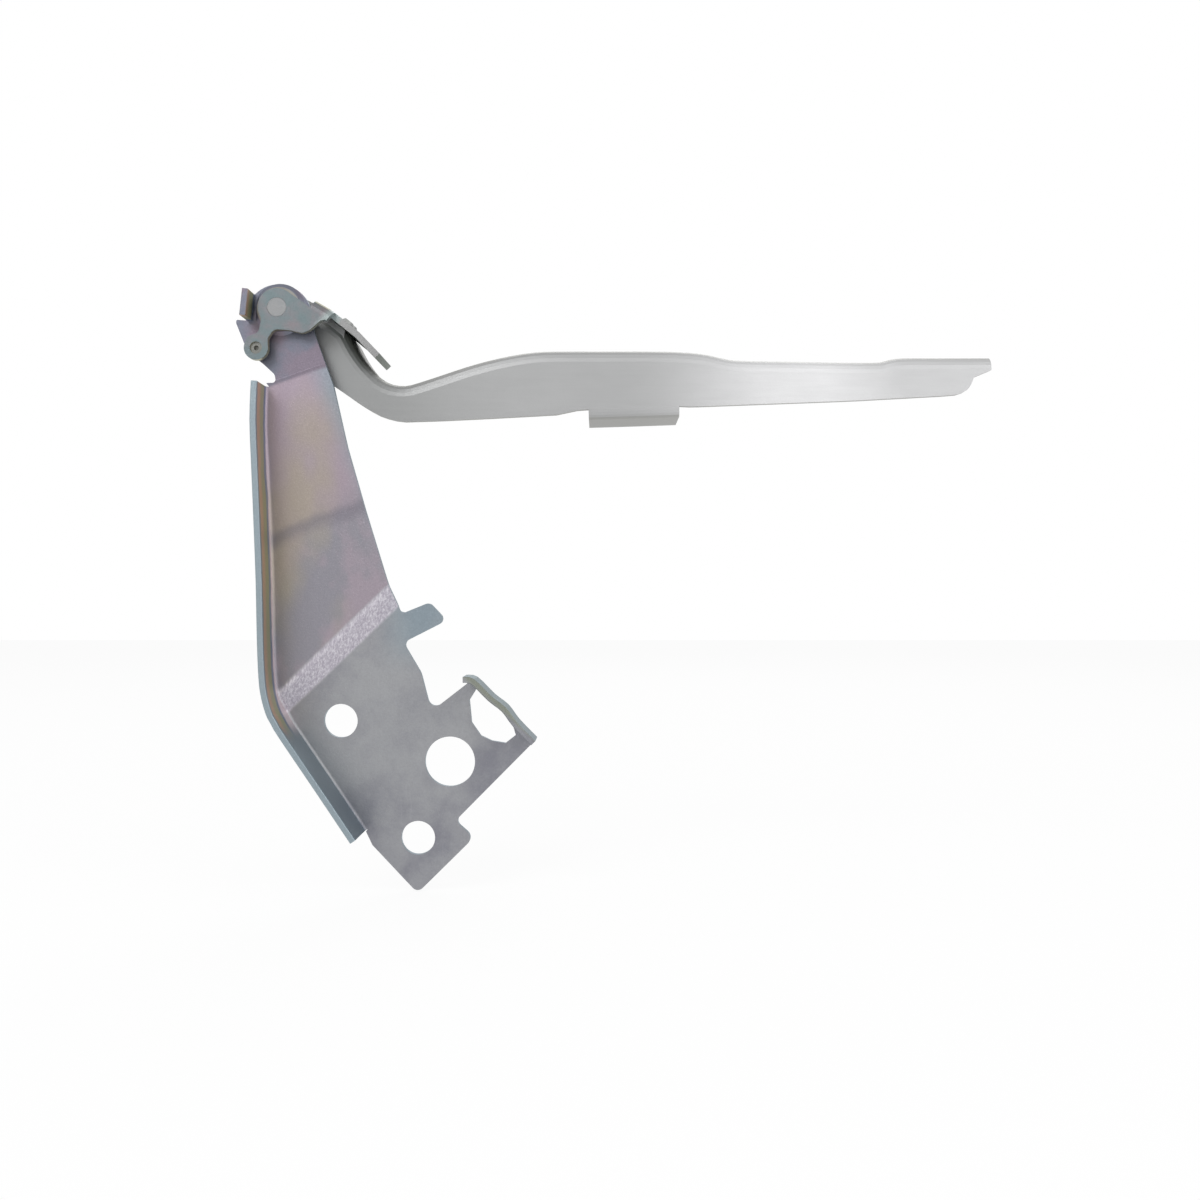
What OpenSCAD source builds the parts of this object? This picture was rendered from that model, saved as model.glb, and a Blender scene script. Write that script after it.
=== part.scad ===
// Bonnet hinge: a pressed body bracket with a joggled foot, and a long bonnet arm that
// turns on a riveted pivot. A link plate in front of the bracket and the arm behind it are
// riveted into one moving piece that straddles the bracket.
// X runs along the arm, Z is up, Y runs away from the viewer. The origin lies midway
// between the two body bolt holes, on the face that meets the body.

/* [Body bracket] */
// Sheet thickness of the body bracket
sheet_t = 2.3; // [2:0.1:3]
// Inside radius of the bracket's bends
bend_r = 1.2; // [0.8:0.1:2]
// Distance between the two body bolt holes
bolt_span = 56.1; // [50:0.5:62]
// Slope of the line through the bolt holes
bolt_slope = 56.5; // [52:0.5:60]
// Diameter of the body bolt holes
bolt_hole_d = 13.5; // [10:0.5:14.5]
// Diameter of the large locating hole
locator_d = 20; // [14:0.5:22]
// Locating hole, from the middle of the bolts towards the fender
locator_x = 28.2; // [26:0.2:30]
// Locating hole, height over the middle of the bolts
locator_z = 7.1; // [5:0.2:9]
// Reach of the foot from the middle of the bolts to its fender tip
foot_reach = 63.5; // [60:0.5:70]
// Drop of the foot below the middle of the bolts
foot_drop = 43.9; // [42:0.5:50]
// How far the neck is stepped forward of the foot
joggle_step = 5.2; // [4:0.1:7]
// Slope of the step between foot and neck
joggle_slope = 38; // [34:1:44]
// Further rise of the neck towards its head
neck_rise = 2.3; // [1.5:0.1:3.5]
// Radius of the bracket's round head
head_r = 13; // [12.5:0.1:14]
// Depth of the side flange from the back of the foot
side_flange_h = 22.6; // [20:0.2:25]
// Depth of the fender flange from the back of the foot
fender_flange_h = 18; // [12:0.5:20]
// Depth of the stop tab from the back of the head
stop_tab_h = 12.3; // [11:0.1:14]

/* [Pivot] */
// Pivot height over the middle of the bolts
pivot_rise = 185.9; // [180:0.5:192]
// Pivot distance behind the middle of the bolts
pivot_back = 37.8; // [36.5:0.1:39]
// Diameter of the pin in the bush
pin_d = 10; // [8:0.5:11]
// Diameter of the riveted pin end in the link
pin_end_d = 7.6; // [6:0.2:8]
// Diameter of the pin's head
pin_head_d = 17; // [15:0.5:19]
// Thickness of the pin's head
pin_head_t = 3; // [2:0.1:4]
// Wall of the bush around the pin
bush_wall = 1.5; // [1:0.1:2]
// Diameter of the bush flange, the washer and the spacer
collar_d = 17; // [16:0.2:18]
// Thickness of the bush flange
bush_flange_t = 1.2; // [0.8:0.1:1.6]
// Thickness of the washer behind the link
washer_t = 1; // [0.6:0.1:1.6]
// Height of the raised seat around the pivot
seat_h = 1.2; // [0.8:0.1:1.6]
// Diameter of the raised seat's flat top
seat_top_d = 17.6; // [17:0.2:19]
// Diameter of the raised seat at its foot
seat_foot_d = 20.4; // [20:0.2:22]

/* [Link] */
// Sheet thickness of the link plate
link_t = 2.5; // [2:0.1:3]
// Radius of the link's head around the pin
link_head_r = 7.4; // [7:0.1:8]
// Radius of the lobe that carries the stop rivet
lobe_r = 4.7; // [4.3:0.1:4.8]
// Depth of the link's rearward flange, from the front of the link
link_flange_d = 30; // [26:0.5:34]
// Diameter of the stop rivet
stop_rivet_d = 4.8; // [4:0.1:5.6]
// Diameter of the rivets that join link and arm
link_rivet_d = 4.5; // [3.5:0.1:5]

/* [Bonnet arm] */
// Sheet thickness of the bonnet arm
arm_t = 2.5; // [2:0.1:3]
// Inside radius of the arm's long top bend
arm_bend_r = 2.5; // [1.5:0.1:4]
// Length of the arm's web from the pivot
arm_len = 275; // [250:1:300]
// Width of the arm's rearward top flange, over the bend
arm_flange_d = 27; // [24:0.5:32]
// Depth of the rearward tab under the arm
arm_tab_d = 26; // [20:0.5:30]
// How far the arm's eye is set back from its web
arm_step = 0.8; // [0.5:0.1:1.5]
// Radius of the arm's eye around the pin
arm_eye_r = 10; // [9:0.1:10.5]
// Length of the flange tip past the end of the web
arm_tip_l = 7; // [4:0.5:9]
// Diameter of the two bonnet bolt holes
bonnet_hole_d = 9; // [7:0.5:11]

/* [Hidden] */
$fn = 96;

// Clearances and small common values
run_gap = 0.05;
side_gap = 0.3;
arm_gap = 1;
seam = 0.1;
band_seam = 0.25;
lip = 1;
edge_break = 0.3;
arc_steps = 5;
arc_turn = 12;
fillet_limit_share = 0.48;
overrun = 1;

// How the outline points below, given in points of the picture, become real places.
// A surface that stands nearer than the foot is seen larger, by its share of view_dist.
point_mm = 0.4;
view_dist = 480;
mid_px = 600;
bolt_mid_px = [379.5, 779.3];
pin_px = [276.4, 306.6];
foot_tip_px = [538.2, 737.2];
foot_end_px = [417.5, 889];
arm_end_px = [973, 380];

function seen(p, lift = 0) =
    let (s = point_mm * (1 - lift / view_dist))
    [(mid_px - bolt_mid_px[0]) * point_mm + (p[0] - mid_px) * s,
     (bolt_mid_px[1] - mid_px) * point_mm - (p[1] - mid_px) * s];

// Depths, as distances in front of the back of the foot
head_back = joggle_step + neck_rise;
head_front = head_back + sheet_t;
seat_front = head_front + seat_h;
link_back = seat_front + washer_t + side_gap;
link_front = link_back + link_t;
web_front = joggle_step - arm_gap;
eye_front = web_front - arm_step;
eye_back = eye_front - arm_t;
bush_back = head_back - bush_flange_t;
pin_head_back = eye_back - pin_head_t;
pin_proud = 0.2;

// Places of the three groups of outlines
pivot = [-pivot_back, pivot_rise];
neck_shift = pivot - seen(pin_px, link_front - sheet_t);
foot_scale = [foot_reach / seen(foot_tip_px)[0], -foot_drop / seen(foot_end_px)[1]];
arm_stretch = arm_len / (seen(arm_end_px, web_front - sheet_t)[0]
    - seen(pin_px, link_front - sheet_t)[0]);

function foot_at(p, lift = 0) =
    let (q = seen(p, lift)) [q[0] * foot_scale[0], q[1] * foot_scale[1]];
function neck_at(p, lift = joggle_step) = seen(p, lift) + neck_shift;
function head_at(p, lift = head_back) = seen(p, lift) + neck_shift;
function link_at(p) = seen(p, link_front - sheet_t) + neck_shift;
function arm_at(p) =
    let (q = seen(p, web_front - sheet_t) + neck_shift - pivot)
    [pivot[0] + q[0] * arm_stretch, pivot[1] + q[1]];

// Plane geometry
function unit(v) = v / norm(v);
function mix(a, b, k) = a + (b - a) * k;
function cross_z(a, b) = a[0] * b[1] - a[1] * b[0];

// A corner b between a and c, rounded to radius r but never past half of either side
function round_corner(a, b, c, r) =
    let (u = unit(a - b),
         v = unit(c - b),
         half = acos(max(-1, min(1, u * v))) / 2)
    (r <= 0 || half > 89) ? [b] :
    let (side_limit = fillet_limit_share * min(norm(a - b), norm(c - b)),
         rr = min(r, side_limit * tan(half)),
         centre = b + unit(u + v) * rr / sin(half),
         from = b + u * rr / tan(half) - centre,
         a0 = atan2(from[1], from[0]),
         turn = (180 - 2 * half) * (cross_z(u, v) > 0 ? -1 : 1),
         steps = ceil(abs(turn) / arc_turn))
    steps < 2 ? [b] :
    [for (k = [0:steps])
        centre + rr * [cos(a0 + turn * k / steps), sin(a0 + turn * k / steps)]];

// An outline whose corners are given as [place, radius]
function rounded(corners) =
    let (n = len(corners))
    [for (i = [0:n - 1])
        each round_corner(corners[(i + n - 1) % n][0], corners[i][0],
            corners[(i + 1) % n][0], corners[i][1])];

// A smooth curve through the given places
function curve_point(a, b, c, d, k) =
    0.5 * (2 * b + (c - a) * k + (2 * a - 5 * b + 4 * c - d) * k * k
        + (3 * b - a - 3 * c + d) * k * k * k);
function curve(pts, steps) =
    let (n = len(pts))
    concat([for (i = [0:n - 2], k = [0:steps - 1])
        curve_point(pts[max(i - 1, 0)], pts[i], pts[i + 1], pts[min(i + 2, n - 1)], k / steps)],
        [pts[n - 1]]);

// Inward normals of a path, on its right (side = -1) or on its left (side = 1),
// lengthened at corners so that an offset keeps its distance
function step_normal(a, b, side) = let (d = unit(b - a)) side * [-d[1], d[0]];
function normals(path, side) =
    let (n = len(path))
    [for (i = [0:n - 1])
        let (before = step_normal(path[max(i - 1, 0)], path[max(i, 1)], side),
             after = step_normal(path[min(i, n - 2)], path[min(i + 1, n - 1)], side))
        (before + after) / (1 + before * after)];
function inset(path, side, d) =
    let (n = normals(path, side)) [for (i = [0:len(path) - 1]) path[i] + n[i] * d];

// A joggle in sheet of thickness t: q runs across it from its low end, and the result is
// the height of the sheet's back and of its front over the low back face
function joggle_run(rise, slope, r, t) =
    (2 * r + t) * sin(slope) + (rise - (2 * r + t) * (1 - cos(slope))) / tan(slope);
function joggle_back(q, rise, slope, r, t) =
    let (run = joggle_run(rise, slope, r, t), big = r + t)
    q <= 0 ? 0 :
    q < big * sin(slope) ? big - sqrt(big * big - q * q) :
    q < run - r * sin(slope) ?
        big * (1 - cos(slope)) + (q - big * sin(slope)) * tan(slope) :
    q < run ? rise - r + sqrt(r * r - (run - q) * (run - q)) : rise;
function joggle_front(q, rise, slope, r, t) =
    let (run = joggle_run(rise, slope, r, t), big = r + t)
    q <= 0 ? t :
    q < r * sin(slope) ? big - sqrt(r * r - q * q) :
    q < run - big * sin(slope) ?
        big - r * cos(slope) + (q - r * sin(slope)) * tan(slope) :
    q < run ? rise - r + sqrt(big * big - (run - q) * (run - q)) : rise + t;

// The joggle's cut outline, with a lip at each end that lies inside the flat sheet
function joggle_section(rise, slope, r, t) =
    let (run = joggle_run(rise, slope, r, t), big = r + t)
    concat([[-lip, seam]],
        [for (k = [0:arc_steps]) let (a = slope * k / arc_steps)
            [big * sin(a), big - big * cos(a)]],
        [for (k = [arc_steps:-1:0]) let (a = slope * k / arc_steps)
            [run - r * sin(a), rise - r + r * cos(a)]],
        [[run + lip, rise + seam], [run + lip, rise + t - seam]],
        [for (k = [0:arc_steps]) let (a = slope * k / arc_steps)
            [run - big * sin(a), rise - r + big * cos(a)]],
        [for (k = [arc_steps:-1:0]) let (a = slope * k / arc_steps)
            [r * sin(a), big - r * cos(a)]],
        [[-lip, t - seam]]);

// Distance of a place from a line through start, on the upper side of its slope
function across(p, start, slope) = (p - start) * [-sin(slope), cos(slope)];

// Solids
module plate(depth, back = 0) {
    // children drawn as seen from the front, reaching forward from back to back + depth
    translate([0, -back, 0]) rotate([90, 0, 0]) linear_extrude(depth) children();
}
module post(at, r, back, front) {
    translate([at[0], -back, at[1]]) rotate([90, 0, 0]) cylinder(r = r, h = front - back);
}
module cone_post(at, r_back, r_front, back, front) {
    translate([at[0], -back, at[1]]) rotate([90, 0, 0])
        cylinder(r1 = r_back, r2 = r_front, h = front - back);
}
module ridge(start, slope, length) {
    // children drawn with x across the line from start and y towards the viewer
    translate([start[0], 0, start[1]]) rotate([180, -90 - slope, 0])
        linear_extrude(length, center = true) children();
}

// One folded edge: the path is the outer face of the wall, outside and inside give the
// depth of the sheet's two faces, dir is the way the wall runs and rim where it ends
function fold_ring(p, n, outside, inside, rim, dir, t, r) =
    let (big = r + t,
         tangent = p + n * big,
         end = p + n * (big + lip),
         y_out = outside(tangent),
         y_in = inside(tangent))
    concat(
        [for (e = [[edge_break, 0], [0, edge_break]])
            [p[0] + n[0] * e[0], rim - dir * e[1], p[1] + n[1] * e[0]]],
        [for (k = [arc_steps:-1:0]) let (a = 90 * k / arc_steps, u = big - big * sin(a))
            [p[0] + n[0] * u, y_out + dir * (big - big * cos(a)), p[1] + n[1] * u]],
        [[end[0], outside(end) + dir * seam, end[1]], [end[0], inside(end) - dir * seam, end[1]]],
        [for (k = [0:arc_steps]) let (a = 90 * k / arc_steps, u = big - r * sin(a))
            [p[0] + n[0] * u, y_in + dir * (r - r * cos(a)), p[1] + n[1] * u]],
        [for (e = [[t, edge_break], [t - edge_break, 0]])
            [p[0] + n[0] * e[0], rim - dir * e[1], p[1] + n[1] * e[0]]]);

// A solid through rings of points. A ring runs along one face of the sheet and back along
// the other, so each end is closed by pairs of triangles from one face to the other.
module skin(rings, flip) {
    m = len(rings[0]);
    last = len(rings) - 1;
    ends = [for (j = [0:m / 2 - 2])
        each [[j, j + 1, m - 2 - j], [j, m - 2 - j, m - 1 - j]]];
    faces = concat(
        [for (i = [0:last - 1], j = [0:m - 1])
            each let (a = i * m + j, b = i * m + (j + 1) % m, c = a + m, d = b + m)
                [[a, c, b], [b, c, d]]],
        ends,
        [for (e = ends) [for (k = [len(e) - 1:-1:0]) last * m + e[k]]]);
    polyhedron([for (ring = rings) each ring],
        flip ? faces : [for (f = faces) [for (k = [len(f) - 1:-1:0]) f[k]]]);
}

module fold(path, side, outside, inside, rim, dir, t, r) {
    n = normals(path, side);
    skin([for (i = [0:len(path) - 1])
        fold_ring(path[i], n[i], outside, inside, rim, dir, t, r)], side * dir < 0);
}

// Body bracket outline, in points of the picture
head_px = [278.5, 317];
head_corner_shares = [-0.42, 0.9];
joggle_px = [[287.8, 712.7], [394, 611]];
crease_low_px = [[275.7, 534.6], [363.2, 504.3]];
crease_high_px = [[275.7, 380.2], [323, 363]];
side_neck_px = [[250.4, 380], [249, 418.6], [250.7, 465], [252.9, 518.6], [255.2, 581],
    [256.4, 640]];
side_foot_px = [[258.2, 678], [260.6, 697], [265.5, 714.6], [270.6, 724.5], [278.3, 737.6],
    [314.3, 790.8], [350, 844]];
stop_px = [[241.6, 287.5], [238.7, 314]];
neck_right_px = [[313, 330], [316.8, 340], [332.9, 384.6], [347.1, 447.1], [365, 509.6],
    [386.4, 579.3]];
notch_px = [[266, 382.6], [276, 382.4], [274.3, 374], [263.3, 363.9], [252, 355],
    [244, 343], [236, 323], [236, 319.4], [248.5, 320.4]];
notch_r_px = [0, 4, 6, 12, 8, 14, 3, 2, 0];
foot_right_px = [[399.8, 611.4], [404.6, 612.6], [429.5, 602.5], [446.5, 620.5], [403, 642.6],
    [421, 673], [431, 711.5], [466.5, 684]];
foot_right_r_px = [4, 3, 6, 6, 6, 20, 8, 0];
foot_low_px = [[538.5, 737], [455.2, 821], [473.8, 837.6], [417.6, 893], [372.4, 845],
    [366, 831.5]];
foot_low_r_px = [3, 6, 8, 7, 4, 0];
fender_px = [[467, 674.5], [478, 676.5], [495.2, 693.3], [509, 704.2], [519.9, 718.6],
    [537.4, 736.6]];
window_px = [[469.4, 700], [471.6, 722.6], [480.8, 735.8], [491.7, 740.9], [505.5, 743.2],
    [515.8, 735.2]];

function zip(places, radii) = [for (i = [0:len(places) - 1]) [places[i], radii[i] * point_mm]];

side_path = curve(concat(
    [for (p = side_neck_px) neck_at(p, side_flange_h - sheet_t)],
    [for (p = side_foot_px) foot_at(p, side_flange_h - sheet_t)]), 3);
stop_path = [for (p = stop_px) head_at(p, head_back + stop_tab_h - sheet_t)];
fender_path = curve([for (p = fender_px) foot_at(p)], 3);
bracket_big = sheet_t + bend_r;
joggle_start = foot_at(joggle_px[0]);
joggle_line = foot_at(joggle_px[1]) - joggle_start;
joggle_turn = atan2(joggle_line[1], joggle_line[0]);
crease_low = neck_at(crease_low_px[0]);
crease_line = neck_at(crease_low_px[1]) - crease_low;
crease_turn = atan2(crease_line[1], crease_line[0]);
crease_span = across(head_at(crease_high_px[0]), crease_low, crease_turn);
sheet_reach = pivot_rise + foot_drop + foot_reach;
seat_spread = (seat_foot_d - seat_top_d) / 2 / seat_h;

function neck_climb(p) =
    neck_rise * max(0, min(1, across(p, crease_low, crease_turn) / crease_span));
function bracket_q(p) = across(p, joggle_start, joggle_turn);
bracket_back = function (p)
    -joggle_back(bracket_q(p), joggle_step, joggle_slope, bend_r, sheet_t) - neck_climb(p);
bracket_front = function (p)
    -joggle_front(bracket_q(p), joggle_step, joggle_slope, bend_r, sheet_t) - neck_climb(p);

module bracket_outline() {
    side_edge = inset(side_path, 1, bracket_big);
    fender_edge = inset(fender_path, -1, bracket_big);
    stop_edge = inset(stop_path, 1, bracket_big);
    head = head_at(head_px);
    corners = concat(
        [[stop_edge[0], 0], [head + head_r * head_corner_shares, 0], [head, 0]],
        [[head + head_r * [1, 0], 0]],
        [for (p = neck_right_px) [neck_at(p, joggle_step + neck_climb(neck_at(p))), head_r]],
        zip([for (p = foot_right_px) foot_at(p)], foot_right_r_px),
        [for (p = fender_edge) [p, 0]],
        zip([for (p = foot_low_px) foot_at(p)], foot_low_r_px),
        [for (i = [len(side_edge) - 1:-1:0]) [side_edge[i], 0]],
        zip([for (p = notch_px) head_at(p)], notch_r_px),
        [[stop_edge[1], 0]]);
    polygon(rounded(corners));
}

module bracket_flat(back, depth) {
    plate(depth, back) bracket_outline();
}

// All of the height between two distances from a slanting line
module between(start, slope, from, to) {
    ridge(start, slope, 2 * sheet_reach)
        polygon([[from, -overrun], [to, -overrun], [to, side_flange_h], [from, side_flange_h]]);
}

// Foot, neck and head are flat sheets, and the joggle and the climb join them
module bracket_sheet() {
    run = joggle_run(joggle_step, joggle_slope, bend_r, sheet_t);
    intersection() {
        bracket_flat(0, sheet_t);
        between(joggle_start, joggle_turn, -sheet_reach, -band_seam);
    }
    intersection() {
        bracket_flat(joggle_step, sheet_t);
        between(joggle_start, joggle_turn, run + band_seam, sheet_reach);
        between(crease_low, crease_turn, -sheet_reach, -band_seam);
    }
    intersection() {
        bracket_flat(head_back, sheet_t);
        between(crease_low, crease_turn, crease_span + band_seam, sheet_reach);
    }
    post(head_at(head_px), head_r, head_back, head_front);
    intersection() {
        bracket_flat(-overrun, side_flange_h);
        ridge(joggle_start, joggle_turn, 2 * sheet_reach)
            polygon(joggle_section(joggle_step, joggle_slope, bend_r, sheet_t));
    }
    intersection() {
        bracket_flat(-overrun, side_flange_h);
        ridge(crease_low, crease_turn, 2 * sheet_reach)
            polygon([[-lip, joggle_step + seam], [0, joggle_step], [crease_span, head_back],
                [crease_span + lip, head_back + seam], [crease_span + lip, head_front - seam],
                [crease_span, head_front], [0, joggle_step + sheet_t],
                [-lip, joggle_step + sheet_t - seam]]);
    }
}

// The coined seat around the pivot stops short of the stop tab's bend
module raised_seat() {
    edge = inset(stop_path, 1, bracket_big + seam);
    along = unit(edge[1] - edge[0]) * seat_foot_d;
    inward = [-along[1], along[0]];
    intersection() {
        cone_post(pivot, seat_foot_d / 2 + seam * seat_spread, seat_top_d / 2,
            head_front - seam, seat_front);
        plate(side_flange_h, 0) polygon([edge[0] - along, edge[1] + along,
            edge[1] + along + inward * 2, edge[0] - along + inward * 2]);
    }
}

module window() {
    inner = inset(fender_path, -1, bracket_big + edge_break);
    n = len(inner);
    polygon(concat([for (p = window_px) foot_at(p)],
        [for (i = [n - 4:-1:4]) inner[i]]));
}

module body_bracket() {
    color("#9c93ab") difference() {
        union() {
            bracket_sheet();
            fold(side_path, 1, bracket_back, bracket_front, -side_flange_h, -1,
                sheet_t, bend_r);
            fold(fender_path, -1, bracket_back, bracket_front, -fender_flange_h, -1,
                sheet_t, bend_r);
            fold(stop_path, 1, bracket_back, bracket_front, -head_back - stop_tab_h, -1,
                sheet_t, bend_r);
            raised_seat();
        }
        post(pivot, pin_d / 2 + run_gap + bush_wall, head_back - overrun, seat_front + overrun);
        for (s = [-1, 1])
            post(s * bolt_span / 2 * [-cos(bolt_slope), sin(bolt_slope)], bolt_hole_d / 2,
                -overrun, sheet_t + overrun);
        post([locator_x, locator_z], locator_d / 2, -overrun, sheet_t + overrun);
        plate(sheet_t + 2 * overrun, -overrun) window();
    }
}

module pivot_bush() {
    color("#b39a6a") difference() {
        union() {
            post(pivot, pin_d / 2 + run_gap + bush_wall, bush_back, seat_front);
            post(pivot, collar_d / 2, bush_back, head_back);
        }
        post(pivot, pin_d / 2 + run_gap, bush_back - overrun, seat_front + overrun);
    }
}

module front_washer() {
    color("#c2c4c8") difference() {
        post(pivot, collar_d / 2, seat_front, seat_front + washer_t);
        post(pivot, pin_d / 2 + side_gap, seat_front - overrun, seat_front + 2 * overrun);
    }
}

module rear_spacer() {
    color("#a9abb0") difference() {
        post(pivot, collar_d / 2, eye_front, bush_back - side_gap);
        post(pivot, pin_d / 2, eye_front - overrun, bush_back + overrun);
    }
}

module pivot_pin() {
    color("#8c8880") {
        post(pivot, pin_d / 2, eye_back, link_back);
        post(pivot, pin_end_d / 2, link_back, link_front);
        cone_post(pivot, pin_end_d / 2, pin_end_d / 2 - pin_proud, link_front,
            link_front + pin_proud);
        cone_post(pivot, pin_head_d / 2 - edge_break, pin_head_d / 2, pin_head_back,
            pin_head_back + edge_break);
        post(pivot, pin_head_d / 2, pin_head_back + edge_break, eye_back);
    }
}

// Link plate: head, lobe and the strip that runs down to the arm
link_px = [[271, 289.2], [278, 287.9], [285.6, 290.2], [293.2, 295.3], [303.6, 302.3]];
link_r_px = [0, 6, 12, 12, 8];
link_low_px = [[320.4, 319.9], [309.5, 329.5], [302.4, 332.8], [288.1, 329.6],
    [273.4, 328.6], [267.2, 338.2], [267.7, 350]];
link_low_r_px = [8, 6, 8, 14, 8, 8, 0];
link_left_px = [[245.3, 342], [247, 336], [258.2, 332.4], [261, 318.3], [257.6, 308]];
link_left_r_px = [0, 4, 7, 12, 0];
lobe_px = [255.6, 347.2];
strip_px = [[314.5, 298.9], [328.4, 306.9], [357, 329.6], [377.5, 351]];

strip = [for (p = strip_px) link_at(p)];
link_big = link_t + bend_r;
strip_bend_share = 0.18;
strip_fold = [strip[0], strip[1], mix(strip[1], strip[2], strip_bend_share)];
strip_path = concat(strip_fold, [strip[2], strip[3]]);
strip_back = link_front - link_flange_d;
lobe = link_at(lobe_px);
strip_relief_gap = 0.6;
strip_relief_r = norm(strip[0] - pivot) + strip_relief_gap;
link_front_face = function (p) -link_front;
link_back_face = function (p) -link_back;

module link_outline() {
    edge = inset(strip_fold, -1, link_big);
    polygon(rounded(concat(
        zip([for (p = link_px) link_at(p)], link_r_px),
        [for (p = edge) [p, 0]],
        zip([for (p = link_low_px) link_at(p)], link_low_r_px),
        zip([for (p = link_left_px) link_at(p)], link_left_r_px))));
}

// Past its bend the strip has a plain front edge, so this region is taken off the fold
module strip_front_cut() {
    along = unit(strip[2] - strip[1]);
    across_in = [along[1], -along[0]];
    reach = norm(strip[3] - strip[1]) + overrun;
    start = strip_fold[2] - along * seam;
    outer = start - across_in * reach;
    polygon([outer, outer + along * reach, start + along * reach + across_in * reach,
        start + across_in * reach]);
}

module link_plate() {
    strip_front = link_front - link_big;
    color("#8ba39b") difference() {
        union() {
            plate(link_t, link_back) link_outline();
            post(pivot, link_head_r, link_back, link_front);
            post(lobe, lobe_r, link_back, link_front);
            fold(strip_path, -1, link_front_face, link_back_face, -strip_back, 1,
                link_t, bend_r);
        }
        plate(link_big + overrun, strip_front) strip_front_cut();
        post(pivot, strip_relief_r, strip_back - overrun, head_front + strip_relief_gap / 2);
        post(pivot, pin_end_d / 2, link_back - overrun, link_front + overrun);
        post(lobe, stop_rivet_d / 2, link_back - overrun, link_front + overrun);
        for (y = link_rivet_y) strip_bore(y, link_rivet_d / 2);
    }
}

// Rivets through the strip and the arm's flange, square to the strip
contact_end_share = 0.55;
rivet_at_share = contact_end_share / 2;
rivet_foot = mix(strip[1], strip[2], rivet_at_share);
strip_dir = unit(strip[2] - strip[1]);
strip_in = [strip_dir[1], -strip_dir[0]];
strip_slope = atan2(strip_dir[1], strip_dir[0]);
rivet_row_shares = [0.325, 0.755];
rivet_head_h_share = 0.4;
rivet_head_r_share = 0.72;
rivet_crown_share = 0.6;
flange_back = web_front - arm_flange_d;
link_rivet_y = [for (s = rivet_row_shares) mix(-eye_back, -strip_back, s)];
rivet_head_h = link_rivet_d * rivet_head_h_share;
rivet_head_r = link_rivet_d * rivet_head_r_share;

module along_rivet(y, from, to, r1, r2) {
    // from and to are distances from the strip's outer face, inward
    at = rivet_foot + strip_in * from;
    translate([at[0], y, at[1]]) rotate([0, 180 - strip_slope, 0])
        cylinder(r1 = r1, r2 = r2, h = to - from);
}
module strip_bore(y, r) {
    along_rivet(y, -overrun, link_t + arm_t + overrun, r, r);
}
module link_rivets() {
    color("#cfd2cc") for (y = link_rivet_y) {
        along_rivet(y, -rivet_head_h, 0, rivet_head_r * rivet_crown_share, rivet_head_r);
        along_rivet(y, -rivet_head_h / 2, link_t + arm_t + rivet_head_h / 2,
            link_rivet_d / 2, link_rivet_d / 2);
        along_rivet(y, link_t + arm_t, link_t + arm_t + rivet_head_h, rivet_head_r,
            rivet_head_r * rivet_crown_share);
    }
}

// Stop rivet: a hollow rivet set a little below the face of the link
rivet_set_back = 0.7;
rivet_tail_t = 1;
rivet_tail_share = 0.8;
rivet_hollow_share = 0.2;
module stop_rivet() {
    color("#6f7378") difference() {
        union() {
            post(lobe, stop_rivet_d / 2, link_back, link_front - rivet_set_back);
            post(lobe, stop_rivet_d * rivet_tail_share, link_back - rivet_tail_t, link_back);
        }
        post(lobe, stop_rivet_d * rivet_hollow_share, link_back + edge_break, link_front + overrun);
    }
}

// Bonnet arm
eye_edge_px = [[317, 332], [341, 322.4]];
eye_heel_shares = [-0.6, -0.8];
arm_top_px = [[349, 336], [356, 349], [366, 363], [379, 376], [391, 382.2], [404, 383.6],
    [416, 380.8], [440, 373], [464, 365], [488, 358.2], [512, 353], [534, 349.8],
    [556, 348.9], [600, 348.9], [644, 348.9], [676, 349.4], [700, 351.2], [712, 353.4],
    [724, 356.2], [738, 358.2], [780, 359], [840, 360.1], [872, 360.3], [883, 359.4],
    [892, 357], [904, 355.8], [930, 355.8], [948, 355.8], [962, 355.8], [969, 355.8],
    [973, 355.8]];
arm_low_px = [[300, 361.5], [331, 384], [344, 392.8], [356, 401.3], [368, 409.3], [380, 415.7],
    [392, 419.8], [404, 421.4], [440, 420.3], [488, 418], [536, 415.4], [568, 413.6],
    [579, 408.9], [588, 408.6], [679, 405.5], [690, 406.4], [720, 405.3], [851, 400.4],
    [943, 395.4], [959, 394], [968, 388.5], [972, 380]];
arm_tab_px = [[679, 415.4], [640, 416.8], [588.3, 418.4]];
bonnet_hole_px = [[600, 349], [930, 355.8]];

strip_under = inset(strip, -1, link_t);
arm_big = arm_t + arm_bend_r;
arm_edge = curve([for (p = arm_top_px) arm_at(p)], 2);
arm_end = arm_edge[len(arm_edge) - 1];
arm_path = concat([strip_under[0], strip_under[1],
    mix(strip_under[1], strip_under[2], contact_end_share)], arm_edge, [arm_end + [arm_tip_l, 0]]);
arm_low = concat([for (p = arm_low_px) arm_at(p)],
    [arm_end + [lip, -arm_big - lip / 2], arm_end + [2 * arm_tip_l, -arm_big - lip / 2]]);
tab_path = [for (p = arm_tab_px) arm_at(p)];
web_back = web_front - arm_t;
flange_mid = (web_front - arm_big + flange_back) / 2;
arm_front_face = function (p) -web_front;
arm_back_face = function (p) -web_back;

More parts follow.
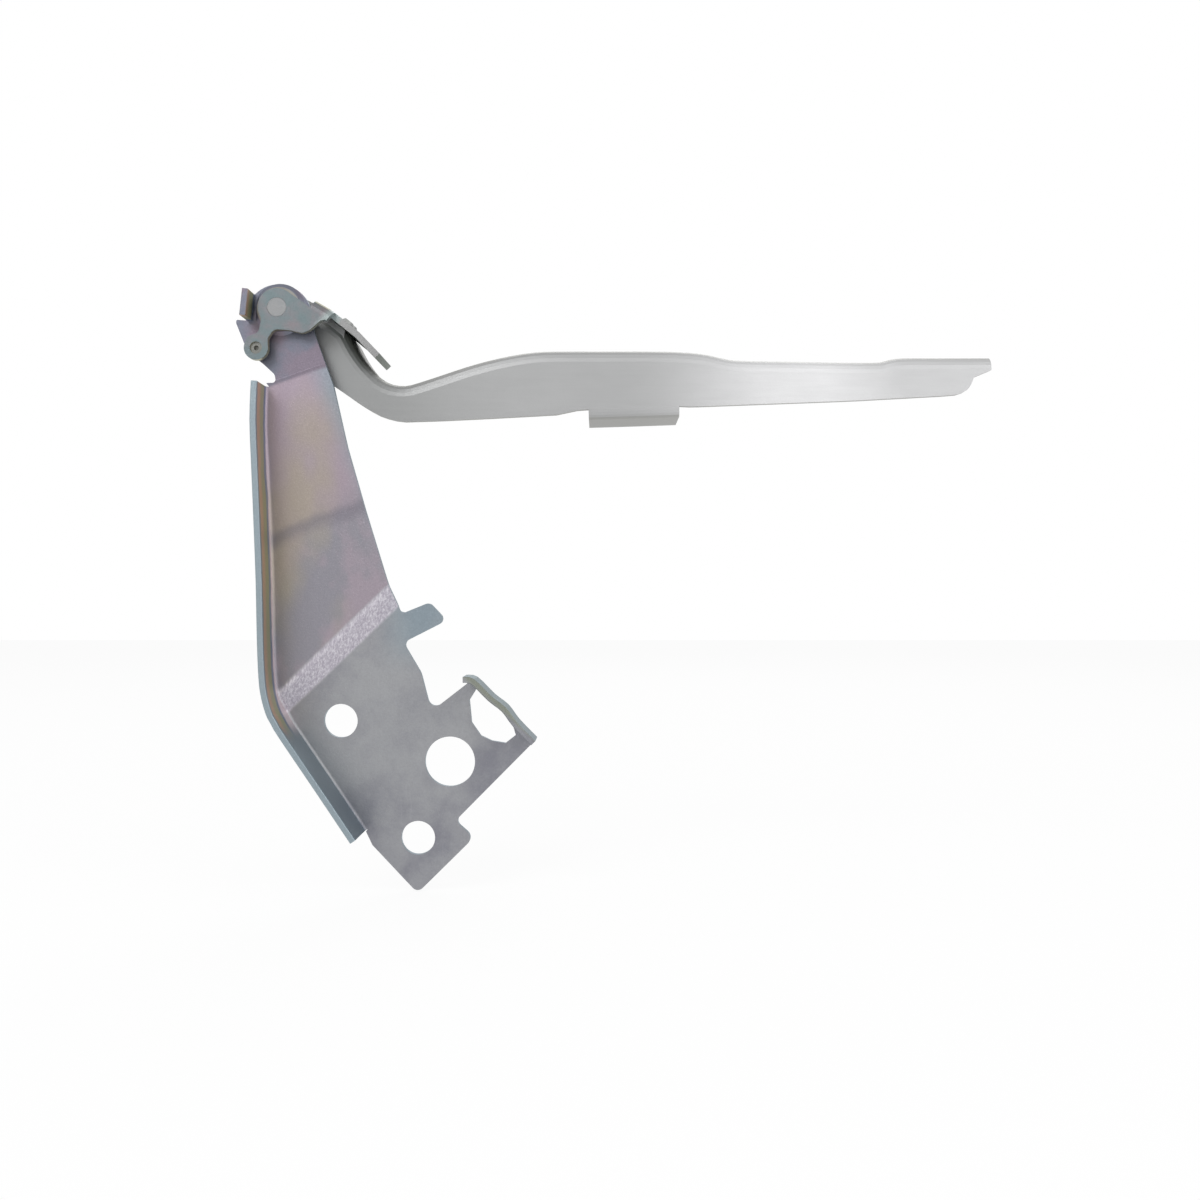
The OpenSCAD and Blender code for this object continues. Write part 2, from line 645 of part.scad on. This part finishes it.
// One cut through the arm: top flange, long bend and the web down to its lower edge
function arm_ring(p, n) =
    let (big = arm_big,
         r = arm_bend_r,
         tangent = p + n * big,
         low = lookup(tangent[0], arm_low))
    concat(
        [for (e = [[edge_break, 0], [0, edge_break]])
            [p[0] + n[0] * e[0], -flange_back - e[1], p[1] + n[1] * e[0]]],
        [for (k = [arc_steps:-1:0]) let (a = 90 * k / arc_steps, u = big - big * sin(a))
            [p[0] + n[0] * u, -web_front + big - big * cos(a), p[1] + n[1] * u]],
        [[tangent[0], -web_front, low], [tangent[0], -web_back, low]],
        [for (k = [0:arc_steps]) let (a = 90 * k / arc_steps, u = big - r * sin(a))
            [p[0] + n[0] * u, -web_back + r - r * cos(a), p[1] + n[1] * u]],
        [for (e = [[arm_t, edge_break], [arm_t - edge_break, 0]])
            [p[0] + n[0] * e[0], -flange_back - e[1], p[1] + n[1] * e[0]]]);

module arm_sheet() {
    n = normals(arm_path, -1);
    skin([for (i = [0:len(arm_path) - 1]) arm_ring(arm_path[i], n[i])], true);
}

// The eye stops under the link's strip
module above_strip() {
    under = inset(strip, -1, link_t + seam);
    away = [arm_eye_r, arm_eye_r];
    polygon([under[0], under[1], under[2], under[2] + away, under[0] + away, under[0] + [0, away[1]]]);
}

module arm_eye() {
    line = [for (p = eye_edge_px) arm_at(p)];
    inner = inset(line, -1, arm_step + arm_t);
    low = arm_at(arm_low_px[1]) + unit(line[1] - line[0]) * arm_step;
    plate(arm_t, eye_back) difference() {
        polygon([pivot + arm_eye_r * [0, 1], line[1] + [0, arm_t], inner[1],
            low + [arm_t, arm_t], low, pivot + arm_eye_r * eye_heel_shares]);
        above_strip();
    }
    post(pivot, arm_eye_r, eye_back, eye_front);
}

module bonnet_arm() {
    color("#b9bcc2") difference() {
        union() {
            arm_sheet();
            arm_eye();
            fold(tab_path, -1, arm_front_face, arm_back_face, -web_front + arm_tab_d, 1,
                arm_t, bend_r);
        }
        post(pivot, pin_d / 2, eye_back - overrun, eye_front + overrun);
        for (y = link_rivet_y) strip_bore(y, link_rivet_d / 2);
        for (p = bonnet_hole_px)
            translate([arm_at(p)[0], -flange_mid, arm_at(p)[1] - arm_t - overrun])
                cylinder(d = bonnet_hole_d, h = arm_t + 2 * overrun);
    }
}

body_bracket();
pivot_bush();
front_washer();
rear_spacer();
pivot_pin();
link_plate();
stop_rivet();
link_rivets();
bonnet_arm();
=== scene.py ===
"""Looks of a bonnet hinge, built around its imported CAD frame. Every length is in metres."""

from __future__ import annotations

import logging
import math
from dataclasses import dataclass
from enum import Enum
from typing import Any

import bpy
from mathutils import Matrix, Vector


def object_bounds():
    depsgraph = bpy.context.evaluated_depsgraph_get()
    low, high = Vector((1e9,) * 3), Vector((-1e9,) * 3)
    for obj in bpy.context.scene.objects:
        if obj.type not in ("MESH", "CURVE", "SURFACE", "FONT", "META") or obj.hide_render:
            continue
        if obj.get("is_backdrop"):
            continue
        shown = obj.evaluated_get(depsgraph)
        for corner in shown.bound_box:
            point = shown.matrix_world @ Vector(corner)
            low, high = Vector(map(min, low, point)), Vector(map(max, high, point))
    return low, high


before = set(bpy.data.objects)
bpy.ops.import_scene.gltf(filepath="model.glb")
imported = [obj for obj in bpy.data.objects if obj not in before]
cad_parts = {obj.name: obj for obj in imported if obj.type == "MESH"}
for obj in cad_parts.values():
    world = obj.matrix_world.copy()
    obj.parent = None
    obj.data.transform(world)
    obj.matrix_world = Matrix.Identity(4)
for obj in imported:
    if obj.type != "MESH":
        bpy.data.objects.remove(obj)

LOG = logging.getLogger("bonnet_hinge")
Colour = tuple[float, float, float, float]
WHITE: Colour = (1.0, 1.0, 1.0, 1.0)


def tone(red: float, green: float, blue: float) -> Colour:
    """Turn a screen colour into the linear colour that a shader takes.

    Args:
        red: Red on the screen, 0 to 255.
        green: Green on the screen, 0 to 255.
        blue: Blue on the screen, 0 to 255.

    Returns:
        The linear colour with full alpha.
    """
    linear = [((c / 255 + 0.055) / 1.055) ** 2.4 for c in (red, green, blue)]
    return (linear[0], linear[1], linear[2], 1.0)


class Field:
    """A number that changes over a surface, for use in Python sums."""

    def __init__(self, shader: Shader, socket: bpy.types.NodeSocket) -> None:
        """Wrap a socket.

        Args:
            shader: The material that the socket belongs to.
            socket: The output that holds the number.
        """
        self.shader = shader
        self.socket = socket

    def math(self, operation: str, first: Field | float, second: Field | float) -> Field:
        """Add one Math node.

        Args:
            operation: The node's operation.
            first: The upper input.
            second: The lower input.

        Returns:
            The node's result.
        """
        made = self.shader.node("ShaderNodeMath", {"operation": operation}, {0: first, 1: second})
        return Field(self.shader, made.outputs[0])

    def __add__(self, other: Field | float) -> Field:
        """Add a number or field."""
        return self.math("ADD", self, other)

    def __radd__(self, other: float) -> Field:
        """Add to a number."""
        return self.math("ADD", other, self)

    def __sub__(self, other: Field | float) -> Field:
        """Take a number or field away."""
        return self.math("SUBTRACT", self, other)

    def __rsub__(self, other: float) -> Field:
        """Take this field away from a number."""
        return self.math("SUBTRACT", other, self)

    def __mul__(self, other: Field | float) -> Field:
        """Multiply by a number or field."""
        return self.math("MULTIPLY", self, other)

    def __rmul__(self, other: float) -> Field:
        """Multiply a number by this field."""
        return self.math("MULTIPLY", other, self)

    def __abs__(self) -> Field:
        """Drop the sign."""
        return self.math("ABSOLUTE", self, 0.0)

    def rise(self, low: float, high: float) -> Field:
        """Go softly from 0 to 1 between two values of this field.

        Args:
            low: The value that gives 0.
            high: The value that gives 1. It may be the smaller one.

        Returns:
            The mask.
        """
        turned = low > high
        ends = {"From Min": min(low, high), "From Max": max(low, high)}
        made = self.shader.node(
            "ShaderNodeMapRange", {"interpolation_type": "SMOOTHSTEP"}, {"Value": self, **ends}
        )
        mask = Field(self.shader, made.outputs[0])
        return 1 - mask if turned else mask


class NodeSheet:
    """A node tree that is filled through one method."""

    def __init__(self, tree: bpy.types.NodeTree) -> None:
        """Empty a node tree.

        Args:
            tree: The tree.
        """
        self.tree = tree
        self.tree.nodes.clear()

    def node(
        self, kind: str, settings: dict[str, Any] | None = None, inputs: dict[Any, Any] | None = None
    ) -> bpy.types.Node:
        """Add one node.

        Args:
            kind: The node's type.
            settings: Its settings, set first.
            inputs: Values or links of its sockets, by name or place.

        Returns:
            The node.
        """
        made = self.tree.nodes.new(kind)
        for name, value in (settings or {}).items():
            setattr(made, name, value)
        for name, value in (inputs or {}).items():
            self.feed(made.inputs[name], value)
        return made

    def feed(self, socket: bpy.types.NodeSocket, value: Any) -> None:
        """Link a field or socket to an input, or set its plain value.

        Args:
            socket: The input.
            value: A field, an output socket or a plain value.
        """
        if isinstance(value, Field):
            self.tree.links.new(value.socket, socket)
        elif isinstance(value, bpy.types.NodeSocket):
            self.tree.links.new(value, socket)
        else:
            socket.default_value = value


class Shader(NodeSheet):
    """A material that is put together from expressions."""

    def __init__(self, name: str) -> None:
        """Start a material with its main shader.

        Args:
            name: The material's name.
        """
        self.material = bpy.data.materials.new(name)
        self.material.use_nodes = True
        super().__init__(self.material.node_tree)
        self.surface = self.node("ShaderNodeBsdfPrincipled")
        self.node("ShaderNodeOutputMaterial", {}, {"Surface": self.surface.outputs["BSDF"]})
        coords = self.node("ShaderNodeTexCoord")
        self.place = coords.outputs["Object"]
        self.facing = coords.outputs["Normal"]

    def along(self, vector: bpy.types.NodeSocket, way: tuple[float, float, float]) -> Field:
        """Measure a vector along a direction.

        Args:
            vector: The vector's socket.
            way: The direction, of length 1.

        Returns:
            The part of the vector along it.
        """
        made = self.node("ShaderNodeVectorMath", {"operation": "DOT_PRODUCT"}, {0: vector, 1: way})
        return Field(self, made.outputs["Value"])

    def above(self, start: tuple[float, float], slope: float) -> Field:
        """Measure how far a point lies above a line in the XZ plane.

        Args:
            start: A point of the line, as X and Z.
            slope: The line's slope in degrees.

        Returns:
            The distance, below zero under the line.
        """
        way = (-math.sin(math.radians(slope)), 0.0, math.cos(math.radians(slope)))
        return self.along(self.place, way) - (way[0] * start[0] + way[2] * start[1])

    def noise(
        self, per_metre: float, detail: float = 3.0, rough: float = 0.55, stretch: tuple[float, ...] = (1, 1, 1)
    ) -> Field:
        """Make cloudy noise fixed to the piece.

        Args:
            per_metre: How many clouds there are in a metre.
            detail: How many finer layers it has.
            rough: How strong the finer layers are.
            stretch: The scale along X, Y and Z.

        Returns:
            The noise, 0 to 1.
        """
        mapped = self.node("ShaderNodeMapping", {}, {"Vector": self.place, "Scale": stretch})
        made = self.node(
            "ShaderNodeTexNoise",
            {},
            {"Vector": mapped.outputs[0], "Scale": per_metre, "Detail": detail, "Roughness": rough},
        )
        return Field(self, made.outputs[0])

    def blend(self, mask: Field | float, under: Any, over: Any) -> bpy.types.NodeSocket:
        """Lay one colour over another.

        Args:
            mask: Where the upper colour shows.
            under: The lower colour.
            over: The upper colour.

        Returns:
            The mixed colour.
        """
        made = self.node("ShaderNodeMix", {"data_type": "RGBA"}, {0: mask, 6: under, 7: over})
        return made.outputs[2]

    def shade(self, colour: Any, factor: Field) -> bpy.types.NodeSocket:
        """Make a colour lighter or darker from place to place.

        Args:
            colour: The colour.
            factor: What it is multiplied by.

        Returns:
            The new colour.
        """
        made = self.node("ShaderNodeVectorMath", {"operation": "SCALE"}, {0: colour, "Scale": factor})
        return made.outputs[0]

    def finish(self, colour: Any, rough: Any, metallic: Any, height: Field, relief: float) -> None:
        """Give the main shader its colour, gloss and relief.

        Args:
            colour: The base colour.
            rough: The roughness.
            metallic: How metallic it is.
            height: The bump's height, 0 to 1.
            relief: The bump's depth.
        """
        bump = self.node("ShaderNodeBump", {}, {"Strength": 1.0, "Distance": relief, "Height": height})
        self.feed(self.surface.inputs["Base Color"], colour)
        self.feed(self.surface.inputs["Roughness"], rough)
        self.feed(self.surface.inputs["Metallic"], metallic)
        self.feed(self.surface.inputs["Normal"], bump.outputs[0])


class Grain(Enum):
    """How fine the crystals of a plated surface are, in clouds to a metre."""

    FINE = 2600.0
    MEDIUM = 1500.0
    COARSE = 800.0


@dataclass(frozen=True)
class PlatedMetal:
    """Plain plated or bare metal with cloudy tone, fine grain, scratches and painted light and shade on its
    side walls.
    """

    name: str
    body: Colour
    cloud: Colour
    side_shading: Colour
    grain: Grain = Grain.FINE
    rough: float = 0.4
    metallic: float = 0.8
    relief: float = 0.00005
    side_shading_share: float = 0.5

    def make(self) -> Shader:
        """Build the material.

        Returns:
            The shader.
        """
        shader = Shader(self.name)
        clouds = shader.noise(45.0, 4.0, 0.6)
        grain = shader.noise(self.grain.value, 2.0)
        scratch = shader.noise(700.0, 3.0, 0.7, (0.12, 1, 1)).rise(0.62, 0.7)
        side = 1 - abs(shader.along(shader.facing, (0, 1, 0))).rise(0.25, 0.85)
        colour = shader.blend(clouds.rise(0.35, 0.65), self.body, self.cloud)
        # Side walls, turned across the view, get the painted light and shade colour.
        colour = shader.blend(side * self.side_shading_share, colour, self.side_shading)
        colour = shader.shade(colour, 0.86 + 0.28 * grain + 0.06 * scratch)
        rough = self.rough - 0.1 + 0.14 * clouds + 0.08 * grain
        shader.finish(colour, rough, self.metallic, grain * 0.7 + scratch * 0.3, self.relief)
        return shader


@dataclass(frozen=True)
class PassivatedSheet:
    """The bracket's zinc: other tones on each flat, colour bands down the flange, and painted highlights on the
    joggle's slope, the flange's fold and the right-hand side walls.
    """

    name: str = "passivated_zinc"
    foot: Colour = tone(162, 163, 166)
    foot_dark: Colour = tone(126, 126, 136)
    # The joggle's two colours paint a highlight on its slope.
    joggle: Colour = tone(240, 236, 243)
    joggle_dark: Colour = tone(184, 176, 190)
    neck: Colour = tone(166, 153, 163)
    neck_patch: Colour = tone(170, 161, 141)
    neck_cool: Colour = tone(146, 144, 152)
    neck_top: Colour = tone(172, 158, 172)
    # Painted shade along the crease.
    crease_shade: Colour = tone(118, 116, 126)
    head: Colour = tone(120, 123, 136)
    head_patch: Colour = tone(136, 122, 134)
    # Painted pale-blue highlight of the right-hand side walls.
    blue_edge_highlight: Colour = tone(138, 156, 166)
    rim: Colour = tone(150, 163, 170)
    brown: Colour = tone(206, 176, 150)
    olive: Colour = tone(178, 178, 142)
    blue: Colour = tone(140, 152, 172)
    # Painted pale highlight along the flange's fold.
    bend_highlight: Colour = tone(240, 226, 229)
    fender: Colour = tone(140, 144, 134)
    blue_band: tuple[float, float] = (0.0085, 0.0105)
    olive_band: tuple[float, float] = (0.0110, 0.0128)
    brown_band: tuple[float, float] = (0.0150, 0.0185)
    rim_band: tuple[float, float] = (0.0200, 0.0218)
    rim_edge: tuple[float, float] = (0.0205, 0.0218)
    left_side: tuple[float, float] = (-0.0300, 0.0100)
    low_crease: tuple[float, float] = (-0.0400, 0.0975)
    crease_slope: float = 19.1
    crease_span: float = 0.0557
    joggle_start: tuple[float, float] = (-0.0367, 0.0266)
    joggle_slope: float = 43.8
    joggle_width: float = 0.0083
    neck_edge: tuple[float, float] = (-0.0127, 0.1528)
    neck_edge_slope: float = -68.7
    fender_line: tuple[float, float] = (0.0350, 0.0419)
    fender_slope: float = -41.4

    def flats(self, shader: Shader) -> bpy.types.NodeSocket:
        """Colour the foot, the joggle, the neck and the head.

        Args:
            shader: The bracket's shader.

        Returns:
            The colour.
        """
        clouds = shader.noise(38.0, 5.0, 0.62)
        patches = shader.noise(24.0, 3.0, 0.5, (1, 1, 0.6)).rise(0.48, 0.66)
        right = shader.along(shader.place, (1, 0, 0))
        low = shader.along(shader.place, (0, 0, 1))
        crease = shader.above(self.low_crease, self.crease_slope)
        joggle = shader.above(self.joggle_start, self.joggle_slope)
        dark = (low.rise(0.004, -0.034) * 0.7 + right.rise(0.028, 0.052) * 0.4) * clouds.rise(0.1, 0.8)
        foot = shader.blend(clouds.rise(0.4, 0.72) * 0.5 + dark, self.foot, self.foot_dark)
        cool = shader.noise(30.0, 4.0, 0.6, (1, 1, 0.7)).rise(0.46, 0.6) * crease.rise(0.016, -0.012)
        # The foot's right-hand corner is tinted with the same pale blue.
        corner = low.rise(0.040, 0.060) * right.rise(-0.004, 0.014)
        foot = shader.blend(corner * (0.4 + 0.4 * clouds), foot, self.blue_edge_highlight)
        neck = shader.blend(cool * 0.8 + crease.rise(0.004, -0.006) * 0.25, self.neck, self.neck_cool)
        neck = shader.blend(patches * 0.65, neck, self.neck_patch)
        neck = shader.blend(crease.rise(0.030, 0.052) * 0.6, neck, self.neck_top)
        # A thin painted shade runs along the crease, wavering with the clouds.
        wavy_crease = (clouds - 0.5) * 0.008 + crease
        line = wavy_crease.rise(-0.006, -0.0005) * wavy_crease.rise(0.004, 0.0)
        # Towards the neck's right-hand border the colour fades into the painted blue highlight.
        border = shader.above(self.neck_edge, self.neck_edge_slope)
        neck = shader.blend(border.rise(-0.013, -0.002) * (0.3 + 0.6 * clouds), neck, self.blue_edge_highlight)
        neck = shader.blend(line * (0.25 + 0.5 * clouds), neck, self.crease_shade)
        colour = shader.blend(joggle.rise(self.joggle_width - 0.0006, self.joggle_width + 0.001), foot, neck)
        # The joggle's slope is painted near-white as a highlight, speckled by the sparkle noise.
        band = joggle.rise(-0.0008, 0.0010) * joggle.rise(self.joggle_width + 0.001, self.joggle_width - 0.001)
        sparkle = shader.noise(1300.0, 3.0, 0.8, (1, 1, 0.25)).rise(0.35, 0.7)
        colour = shader.blend(band * 0.8, colour, shader.blend(sparkle, self.joggle_dark, self.joggle))
        head = crease.rise(self.crease_span - 0.0008, self.crease_span + 0.0008)
        stain = shader.noise(70.0, 3.0, 0.5).rise(0.45, 0.62)
        colour = shader.blend(head, colour, shader.blend(stain * 0.7, self.head, self.head_patch))
        fold = shader.above(self.fender_line, self.fender_slope).rise(-0.001, 0.0012)
        fold = fold * low.rise(0.062, 0.050) * right.rise(0.024, 0.034)
        return shader.blend(fold, colour, self.fender)

    def flange(self, shader: Shader, colour: Any) -> bpy.types.NodeSocket:
        """Lay the colour bands of the side flange over the colour, with a painted highlight along its fold.

        Args:
            shader: The bracket's shader.
            colour: The colour of the flats.

        Returns:
            The colour with the flange.
        """
        wave = shader.noise(60.0, 3.0) * 0.004 - 0.002
        depth = shader.along(shader.place, (0, -1, 0)) + wave
        left = shader.above(self.left_side, 90.0).rise(0.0, 0.006)
        upright = 1 - abs(shader.along(shader.facing, (0, 1, 0))).rise(0.3, 0.8)
        # Next to the fold the flange is painted as a pale highlight, then come blue, olive, brown and the rim
        # colour.
        bands = shader.blend(depth.rise(*self.blue_band), self.bend_highlight, self.blue)
        bands = shader.blend(depth.rise(*self.olive_band), bands, self.olive)
        bands = shader.blend(depth.rise(*self.brown_band), bands, self.brown)
        bands = shader.blend(depth.rise(*self.rim_band), bands, self.rim)
        colour = shader.blend(upright * left, colour, bands)
        rim = shader.along(shader.place, (0, -1, 0)).rise(*self.rim_edge)
        colour = shader.blend(rim, colour, self.rim)
        # Side walls on the right-hand side get the painted blue highlight.
        return shader.blend(upright * (1 - left) * 0.7, colour, self.blue_edge_highlight)

    def make(self) -> Shader:
        """Build the material.

        Returns:
            The shader.
        """
        shader = Shader(self.name)
        grain = shader.noise(Grain.MEDIUM.value, 3.0, 0.6)
        speck = shader.noise(Grain.FINE.value, 2.0).rise(0.6, 0.72)
        scratch = shader.noise(520.0, 3.0, 0.7, (1, 1, 0.1)).rise(0.62, 0.72)
        colour = self.flange(shader, self.flats(shader))
        colour = shader.shade(colour, 0.84 + 0.28 * grain + 0.1 * speck + 0.05 * scratch)
        rough = 0.36 + 0.16 * grain
        shader.finish(colour, rough, 0.8, grain * 0.7 + speck * 0.3, 0.00008)
        return shader


@dataclass(frozen=True)
class SatinArm:
    """The arm's satin zinc with painted light: grey at the pivot, nearly white along its middle."""

    name: str = "arm_zinc"
    near: Colour = tone(147, 148, 148)
    far: Colour = tone(233, 233, 234)
    side_face_shade: Colour = tone(150, 150, 145)
    side_shading: Colour = tone(142, 145, 146)
    first: float = 0.060
    glow: float = 0.095
    last: float = 0.165
    fade: float = 0.215

    def make(self) -> Shader:
        """Build the material.

        Returns:
            The shader.
        """
        shader = Shader(self.name)
        right = shader.along(shader.place, (1, 0, 0))
        clouds = shader.noise(26.0, 4.0, 0.6, (0.5, 1, 1))
        grain = shader.noise(Grain.FINE.value, 2.0)
        brushed = shader.noise(900.0, 3.0, 0.6, (0.06, 1, 1))
        # Painted light along the arm: it brightens from the pivot towards the middle and dims a little past it.
        lit = 0.28 * right.rise(-0.01, self.first) + 0.72 * right.rise(self.glow, self.last)
        lit = lit * (1 - 0.35 * right.rise(self.last + 0.01, self.fade))
        colour = shader.blend(lit * (0.8 + 0.3 * clouds), self.near, self.far)
        facing = shader.along(shader.facing, (0, 1, 0))
        side = 1 - abs(facing).rise(0.3, 0.85)
        # Faces turned across the view, such as the upper flange, get painted shade.
        colour = shader.blend(side * 0.75, colour, self.side_face_shade)
        # Side faces at the far left, next to the bracket, get a darker painted shade.
        colour = shader.blend(side * right.rise(-0.03, -0.045), colour, self.side_shading)
        colour = shader.shade(colour, 0.88 + 0.12 * clouds + 0.07 * grain + 0.07 * brushed)
        rough = 0.34 + 0.12 * clouds + 0.08 * brushed
        shader.finish(colour, rough, 0.75, grain * 0.5 + brushed * 0.5, 0.00003)
        return shader


@dataclass(frozen=True)
class StainedLink:
    """The link's zinc: grey-green flat, a painted pale highlight on its fold, and a brownish strip with painted
    shade under it and painted yellow highlights on the side walls.
    """

    name: str = "link_zinc"
    flat: Colour = tone(112, 125, 128)
    cloud: Colour = tone(130, 124, 128)
    side_shading: Colour = tone(178, 174, 146)
    bend_highlight: Colour = tone(158, 168, 168)
    strip: Colour = tone(150, 150, 150)
    under: Colour = tone(92, 106, 92)
    bend_start: tuple[float, float] = (-0.0145, 0.1834)
    bend_slope: float = 51.6

    def make(self) -> Shader:
        """Build the material.

        Returns:
            The shader.
        """
        shader = Shader(self.name)
        clouds = shader.noise(90.0, 4.0, 0.6)
        grain = shader.noise(Grain.MEDIUM.value, 2.0)
        toward = shader.along(shader.facing, (0, 1, 0))
        side = 1 - abs(toward).rise(0.3, 0.8)
        past = -1 * shader.above(self.bend_start, self.bend_slope)
        colour = shader.blend(clouds.rise(0.4, 0.7), self.flat, self.cloud)
        # Side walls get a painted yellow highlight.
        colour = shader.blend(side * 0.8, colour, self.side_shading)
        # Along the fold line the link is painted with a pale highlight, then the strip follows.
        colour = shader.blend(past.rise(-0.005, -0.002), colour, self.bend_highlight)
        colour = shader.blend(past.rise(0.0, 0.003), colour, self.strip)
        # Downward faces of the strip get painted shade.
        down = shader.along(shader.facing, (0, 0, -1)).rise(0.1, 0.6)
        colour = shader.blend(past.rise(0.0, 0.003) * down * 0.7, colour, self.under)
        colour = shader.shade(colour, 0.86 + 0.22 * grain + 0.08 * clouds)
        shader.finish(colour, 0.34 + 0.14 * grain, 0.8, grain, 0.00005)
        return shader


PIN_STEEL = PlatedMetal("pin_steel", tone(136, 138, 140), tone(150, 150, 150), tone(120, 122, 124))
WASHER_STEEL = PlatedMetal("washer_steel", tone(150, 148, 142), tone(130, 128, 124), tone(170, 166, 156))
SPACER_STEEL = PlatedMetal("spacer_steel", tone(128, 130, 132), tone(144, 144, 142), tone(150, 150, 148))
BUSH_BRONZE = PlatedMetal(
    "bush_bronze", tone(168, 136, 88), tone(146, 116, 76), tone(186, 156, 104), Grain.MEDIUM, 0.36, 0.95
)
RIVET_DARK = PlatedMetal("rivet_dark", tone(112, 114, 112), tone(134, 134, 128), tone(168, 168, 160))
RIVET_STEEL = PlatedMetal("rivet_steel", tone(176, 178, 176), tone(160, 160, 158), tone(140, 142, 142))


def dress(node: str, shader: Shader) -> None:
    """Give a CAD node its material.

    Args:
        node: The node's name.
        shader: Its shader.
    """
    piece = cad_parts[node]
    for slot in piece.material_slots:
        slot.material = shader.material
    if not piece.material_slots:
        piece.data.materials.append(shader.material)
    LOG.info("dressed %s with %s", node, shader.material.name)


@dataclass
class FixedBracket:
    """The body bracket with the bush and washer in its head."""

    sheet: PassivatedSheet = PassivatedSheet()
    bush: PlatedMetal = BUSH_BRONZE
    washer: PlatedMetal = WASHER_STEEL

    def build(self) -> None:
        """Dress the three fixed nodes."""
        dress("body_bracket", self.sheet.make())
        dress("pivot_bush", self.bush.make())
        dress("front_washer", self.washer.make())


@dataclass
class MovingArm:
    """The bonnet arm, the link plate and what holds them together."""

    arm: SatinArm = SatinArm()
    link: StainedLink = StainedLink()
    pin: PlatedMetal = PIN_STEEL
    spacer: PlatedMetal = SPACER_STEEL
    stop: PlatedMetal = RIVET_DARK
    rivets: PlatedMetal = RIVET_STEEL

    def build(self) -> None:
        """Dress the six moving nodes."""
        dress("bonnet_arm", self.arm.make())
        dress("link_plate", self.link.make())
        dress("pivot_pin", self.pin.make())
        dress("rear_spacer", self.spacer.make())
        dress("stop_rivet", self.stop.make())
        dress("link_rivets", self.rivets.make())


@dataclass
class Studio:
    """The camera, the floor, the lamps and the white surroundings."""

    eye: tuple[float, float, float] = (0.0882, -0.4823, 0.07172)
    lens: float = 36.0
    floor_drop: float = 0.0005
    floor_size: float = 6.0
    floor_colour: Colour = (0.85, 0.85, 0.85, 1.0)
    floor_glow: float = 0.9
    aim: tuple[float, float, float] = (0.09, 0.0, 0.08)
    lamp_size: float = 0.9
    world_level: float = 0.72

    def camera(self) -> None:
        """Place the camera where the photograph was taken."""
        data = bpy.data.cameras.new("photo_view")
        data.lens = self.lens
        data.sensor_width = 36.0
        data.sensor_fit = "HORIZONTAL"
        camera = bpy.data.objects.new("photo_view", data)
        camera.location = self.eye
        camera.rotation_euler = (math.radians(90), 0, 0)
        bpy.context.scene.collection.objects.link(camera)
        bpy.context.scene.camera = camera

    def floor(self, lowest: float) -> None:
        """Lay a pale floor just under the bracket's foot.

        Args:
            lowest: The object's lowest height.
        """
        half = self.floor_size / 2
        level = lowest - self.floor_drop
        corners = [(-half, -half, level), (half, -half, level), (half, half, level), (-half, half, level)]
        mesh = bpy.data.meshes.new("studio_floor")
        mesh.from_pydata(corners, [], [(0, 1, 2, 3)])
        floor = bpy.data.objects.new("studio_floor", mesh)
        bpy.context.scene.collection.objects.link(floor)
        paint = Shader("floor_paint")
        paint.finish(self.floor_colour, 0.9, 0.0, paint.noise(40.0), 0.00002)
        path = paint.node("ShaderNodeLightPath")
        seen = Field(paint, path.outputs["Is Camera Ray"]) + Field(paint, path.outputs["Is Glossy Ray"])
        white = paint.node("ShaderNodeEmission", {}, {"Color": WHITE, "Strength": 1.0})
        inputs = {0: seen * self.floor_glow, 1: paint.surface.outputs[0], 2: white.outputs[0]}
        mixed = paint.node("ShaderNodeMixShader", {}, inputs)
        paint.node("ShaderNodeOutputMaterial", {}, {"Surface": mixed.outputs[0]}).is_active_output = True
        mesh.materials.append(paint.material)
        floor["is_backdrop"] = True

    def world(self) -> None:
        """Surround the object with plain light that the camera sees as white."""
        world = bpy.data.worlds.new("studio_air")
        world.use_nodes = True
        sheet = NodeSheet(world.node_tree)
        path = sheet.node("ShaderNodeLightPath")
        air = sheet.node("ShaderNodeBackground", {}, {"Color": WHITE, "Strength": self.world_level})
        seen = sheet.node("ShaderNodeBackground", {}, {"Color": WHITE, "Strength": 1.0})
        inputs = {0: path.outputs["Is Camera Ray"], 1: air.outputs[0], 2: seen.outputs[0]}
        mixed = sheet.node("ShaderNodeMixShader", {}, inputs)
        sheet.node("ShaderNodeOutputWorld", {}, {0: mixed.outputs[0]})
        bpy.context.scene.world = world

    def lamp(self, name: str, place: tuple[float, float, float], power: float) -> None:
        """Hang a soft lamp that points at the object's middle.

        Args:
            name: The lamp's name.
            place: Where it hangs.
            power: Its power in watts.
        """
        data = bpy.data.lights.new(name, "AREA")
        data.energy = power
        data.size = self.lamp_size
        lamp = bpy.data.objects.new(name, data)
        lamp.location = place
        beam = Vector(self.aim) - Vector(place)
        lamp.rotation_euler = beam.to_track_quat("-Z", "Y").to_euler()
        bpy.context.scene.collection.objects.link(lamp)

    def build(self, lowest: float) -> None:
        """Set the whole studio up.

        Args:
            lowest: The object's lowest height.
        """
        self.camera()
        self.floor(lowest)
        self.world()
        self.lamp("key_lamp", (-0.7, -1.1, 1.1), 11.0)
        self.lamp("side_lamp", (1.2, -0.8, 0.6), 5.0)
        self.lamp("back_lamp", (0.2, 1.2, 1.2), 4.0)
        bpy.context.scene.view_settings.view_transform = "Standard"


def main() -> None:
    """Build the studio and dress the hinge."""
    logging.basicConfig(level=logging.INFO, format="%(message)s")
    cad_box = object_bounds()
    Studio().build(cad_box[0][2])
    FixedBracket().build()
    MovingArm().build()


if __name__ == "__main__":
    main()
